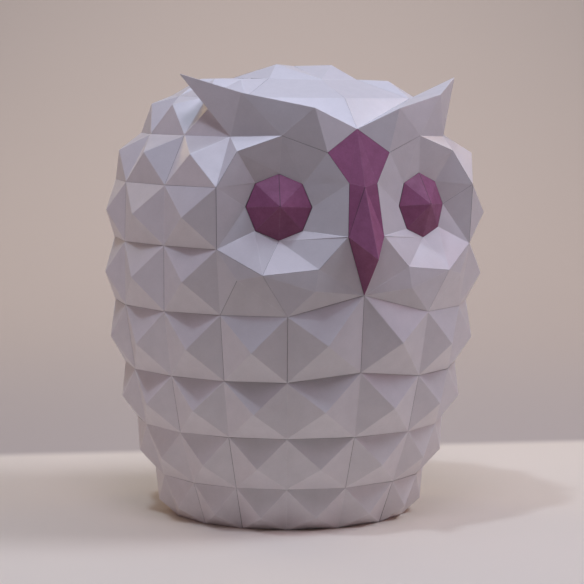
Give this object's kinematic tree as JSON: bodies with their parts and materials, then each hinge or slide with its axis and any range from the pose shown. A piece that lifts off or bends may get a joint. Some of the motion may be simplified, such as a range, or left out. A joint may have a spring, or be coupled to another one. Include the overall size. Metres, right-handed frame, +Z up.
{
  "type": "folded paper owl",
  "caption": "Free-standing owl of folded card: faceted rows of low pyramids, dished eye discs, raised pupils, a folded beak and two pointed ear tufts.",
  "frame": {"origin": "middle of the flat base, on the surface it stands on", "axes": "+Z up, -Y the way the owl faces, +X to the right of a viewer who faces it"},
  "size_m": [0.2004, 0.1919, 0.2375],
  "materials": {
    "body_card": "matte",
    "accent_card": "matte"
  },
  "bodies": {
    "root": {"base_panel": "body_card", "beak": "accent_card", "brow_left": "body_card", "brow_right": "body_card", "cheek_left": "body_card", "cheek_right": "body_card", "crown_left": "body_card", "crown_right": "body_card", "eye_disc_left": "body_card", "eye_disc_right": "body_card", "pupil_left": "accent_card", "pupil_right": "accent_card", "row1_back": "body_card", "row1_front": "body_card", "row1_front_left": "body_card", "row1_front_right": "body_card", "row1_left": "body_card", "row1_right": "body_card", "row2_back_left": "body_card", "row2_back_right": "body_card", "row2_front_left": "body_card", "row2_front_right": "body_card", "row2_left": "body_card", "row3_back": "body_card", "row3_front": "body_card", "row3_front_right": "body_card", "row3_left": "body_card", "row3_right": "body_card", "row4_back_left": "body_card", "row4_back_right": "body_card", "row4_front_centre": "body_card", "row4_front_left": "body_card", "row4_front_right": "body_card", "row4_left": "body_card", "row5_back": "body_card", "row5_front_left": "body_card", "row5_front_right": "body_card", "row5_left": "body_card", "row5_right": "body_card", "row6_front_left": "body_card", "row6_front_right": "body_card", "row6_left": "body_card", "row6_right": "body_card", "row7_back": "body_card", "row7_front_left": "body_card", "row7_front_right": "body_card", "row7_left": "body_card", "row7_right": "body_card", "row8_back": "body_card", "row8_left": "body_card", "row8_right": "body_card", "row9_back": "body_card", "row9_left": "body_card", "row9_right": "body_card"}
  },
  "joints": []
}
